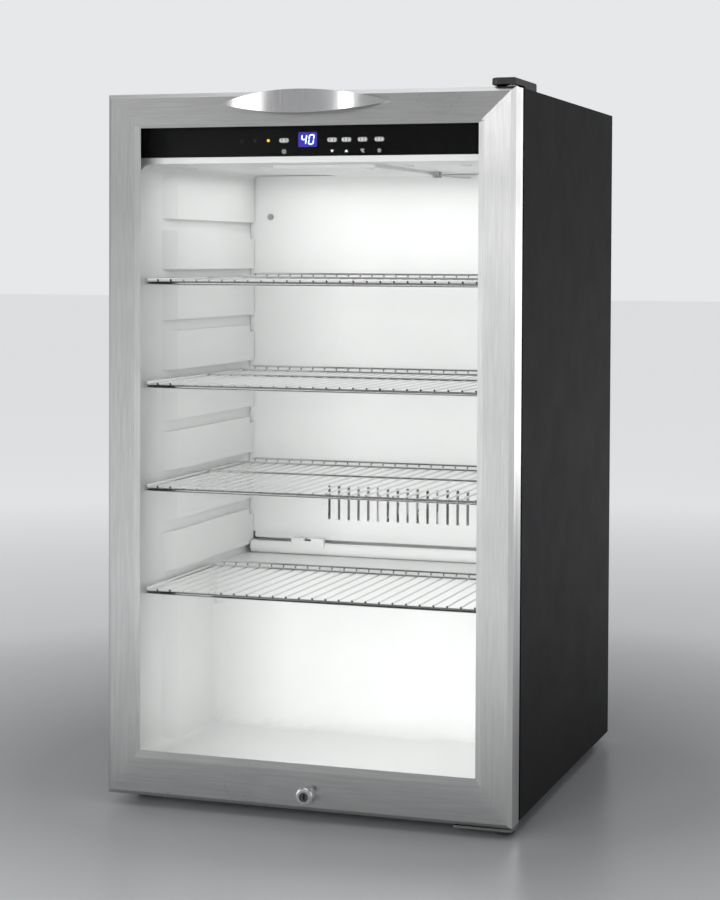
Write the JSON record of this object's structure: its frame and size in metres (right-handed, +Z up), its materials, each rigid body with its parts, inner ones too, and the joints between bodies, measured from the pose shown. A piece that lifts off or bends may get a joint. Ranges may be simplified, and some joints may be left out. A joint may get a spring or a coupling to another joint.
{
  "type": "undercounter refrigerator",
  "caption": "Compact glass-door refrigerator: black cabinet, stainless mitred door frame, bowed top handle, lock, wire shelves, white liner and a digital control strip.",
  "frame": {"origin": "on the floor, under the centre of the outline (door handle to rear wall spacers, side to side)", "axes": "+X to the right seen from the front, +Y from the door to the back, +Z up"},
  "size_m": [0.495, 0.56, 0.8505],
  "materials": {
    "stainless": "satin",
    "polished_steel": "polished",
    "chrome": "polished",
    "chrome_wire": "polished",
    "silver_button": "satin",
    "black_paint": "satin",
    "galvanised_steel": "satin",
    "zinc_plate": "satin",
    "zinc_screw": "satin",
    "lock_core": "satin",
    "grey_metal": "satin",
    "compressor_black": "gloss",
    "copper": "satin",
    "spacer_aluminium": "satin",
    "white_liner": "gloss",
    "white_plastic": "satin",
    "lamp_lens": "satin",
    "foam": "matte",
    "clear_glass": "polished",
    "gasket_rubber": "matte",
    "rubber": "matte",
    "black_plastic": "satin",
    "foot_plastic": "satin",
    "fascia_black": "satin",
    "display_blue": "gloss",
    "led_amber": "gloss",
    "circuit_board": "satin"
  },
  "bodies": {
    "cabinet": {"back_panel": "black_paint", "base_pan": "galvanised_steel", "cabinet_screws": "zinc_screw", "ceiling_lamp_housing": "white_plastic", "ceiling_lamp_lens": "lamp_lens", "ceiling_screw_caps": "white_plastic", "compressor": "compressor_black", "compressor_mounts": "rubber", "compressor_plate": "galvanised_steel", "control_board": "circuit_board", "control_fascia": "fascia_black", "control_housing": "black_plastic", "display_window": "display_blue", "drain_trough": "white_plastic", "drip_tray": "black_plastic", "evaporator_cover": "white_plastic", "evaporator_plate": "spacer_aluminium", "fan_frame_and_motor": "white_plastic", "inner_liner": "white_liner", "insulation_foam": "foam", "lock_strike_cup": "black_plastic", "lower_hinge_plate": "zinc_plate", "machine_bay_lining": "galvanised_steel", "power_inlet": "black_plastic", "refrigerant_lines": "copper", "sensor_tube_and_clips": "grey_metal", "side_panels": "black_paint", "start_relay_and_cover": "black_plastic", "status_leds": "led_amber", "top_hinge_cover": "black_plastic", "top_hinge_plate": "zinc_plate", "top_panel": "black_paint", "wall_spacers": "rubber"},
    "door": {"door_top_rail": "stainless", "door_bottom_rail": "stainless", "door_stiles": "stainless", "door_inner_frame": "black_plastic", "glass_panes": "clear_glass", "glazing_spacer": "spacer_aluminium", "door_gasket": "gasket_rubber", "door_handle": "polished_steel", "handle_screws": "zinc_screw", "lock_bezel": "chrome", "hinge_bushes": "white_plastic"},
    "lock_core": {"lock_plug": "lock_core", "lock_cam": "zinc_screw"},
    "fan_rotor": {"fan_blade": "white_plastic"},
    "button_1": {"control_button_1": "silver_button"},
    "button_2": {"control_button_2": "silver_button"},
    "button_3": {"control_button_3": "silver_button"},
    "button_4": {"control_button_4": "silver_button"},
    "button_5": {"control_button_5": "silver_button"},
    "shelf_top": {"shelf_top": "chrome_wire"},
    "shelf_upper": {"shelf_upper": "chrome_wire"},
    "shelf_lower": {"shelf_lower": "chrome_wire"},
    "shelf_bottom": {"shelf_bottom": "chrome_wire"},
    "foot_front_left": {"levelling_foot_front_left": "foot_plastic"},
    "foot_front_right": {"levelling_foot_front_right": "foot_plastic"},
    "foot_rear_left": {"levelling_foot_rear_left": "foot_plastic"},
    "foot_rear_right": {"levelling_foot_rear_right": "foot_plastic"}
  },
  "joints": [
    {"name": "door_hinge", "type": "hinge", "parent": "cabinet", "child": "door", "pos_m": [0.239, -0.232, 0.427], "axis": [0, 0, 1], "range_deg": [0, 115]},
    {"name": "lock_turn", "type": "hinge", "parent": "door", "child": "lock_core", "pos_m": [0.006, -0.24, 0.032], "axis": [0, 1, 0], "range_deg": [0, 90]},
    {"name": "fan_spin", "type": "hinge", "parent": "cabinet", "child": "fan_rotor", "pos_m": [0, 0.162, 0.321], "axis": [0, 1, 0], "continuous": true},
    {"name": "button_1_press", "type": "slide", "parent": "cabinet", "child": "button_1", "axis": [0, 1, 0], "range_m": [0, 0.0008], "stiffness_N_per_m": 600},
    {"name": "button_2_press", "type": "slide", "parent": "cabinet", "child": "button_2", "axis": [0, 1, 0], "range_m": [0, 0.0008], "stiffness_N_per_m": 600},
    {"name": "button_3_press", "type": "slide", "parent": "cabinet", "child": "button_3", "axis": [0, 1, 0], "range_m": [0, 0.0008], "stiffness_N_per_m": 600},
    {"name": "button_4_press", "type": "slide", "parent": "cabinet", "child": "button_4", "axis": [0, 1, 0], "range_m": [0, 0.0008], "stiffness_N_per_m": 600},
    {"name": "button_5_press", "type": "slide", "parent": "cabinet", "child": "button_5", "axis": [0, 1, 0], "range_m": [0, 0.0008], "stiffness_N_per_m": 600},
    {"name": "shelf_top_slide", "type": "slide", "parent": "cabinet", "child": "shelf_top", "axis": [0, -1, 0], "range_m": [0, 0.014]},
    {"name": "shelf_upper_slide", "type": "slide", "parent": "cabinet", "child": "shelf_upper", "axis": [0, -1, 0], "range_m": [0, 0.014]},
    {"name": "shelf_lower_slide", "type": "slide", "parent": "cabinet", "child": "shelf_lower", "axis": [0, -1, 0], "range_m": [0, 0.014]},
    {"name": "shelf_bottom_slide", "type": "slide", "parent": "cabinet", "child": "shelf_bottom", "axis": [0, -1, 0], "range_m": [0, 0.014]},
    {"name": "foot_front_left_level", "type": "slide", "parent": "cabinet", "child": "foot_front_left", "axis": [0, 0, -1], "range_m": [0, 0.008]},
    {"name": "foot_front_right_level", "type": "slide", "parent": "cabinet", "child": "foot_front_right", "axis": [0, 0, -1], "range_m": [0, 0.008]},
    {"name": "foot_rear_left_level", "type": "slide", "parent": "cabinet", "child": "foot_rear_left", "axis": [0, 0, -1], "range_m": [0, 0.008]},
    {"name": "foot_rear_right_level", "type": "slide", "parent": "cabinet", "child": "foot_rear_right", "axis": [0, 0, -1], "range_m": [0, 0.008]}
  ]
}
